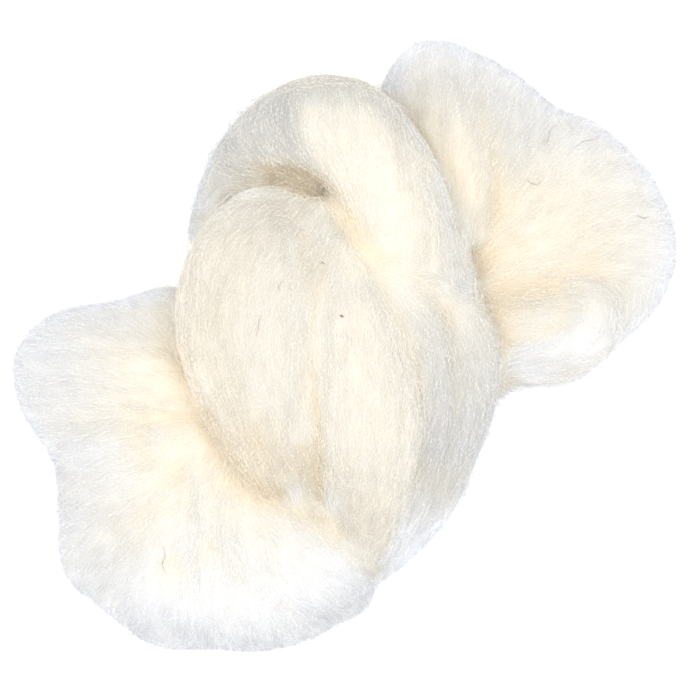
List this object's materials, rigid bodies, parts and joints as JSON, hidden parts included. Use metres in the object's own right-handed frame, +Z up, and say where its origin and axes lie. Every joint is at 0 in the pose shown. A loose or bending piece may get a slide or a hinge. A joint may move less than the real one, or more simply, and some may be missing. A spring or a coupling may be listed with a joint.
{
  "type": "wool roving knot",
  "caption": "Loose overhand knot of soft natural-white wool roving lying on a flat surface, both ends teased out into broad fluffy fans.",
  "frame": {"origin": "centre of the part's box, at the flat underside that rests on the surface", "axes": "+Z up from the surface, +X towards the right-hand fanned end along the longest side, +Y away from the front-left fanned end"},
  "size_m": [0.2498, 0.2302, 0.0804],
  "materials": {
    "wool": "matte, soft and fibrous, natural white"
  },
  "bodies": {
    "root": {"wool_roving": "wool"}
  },
  "joints": []
}
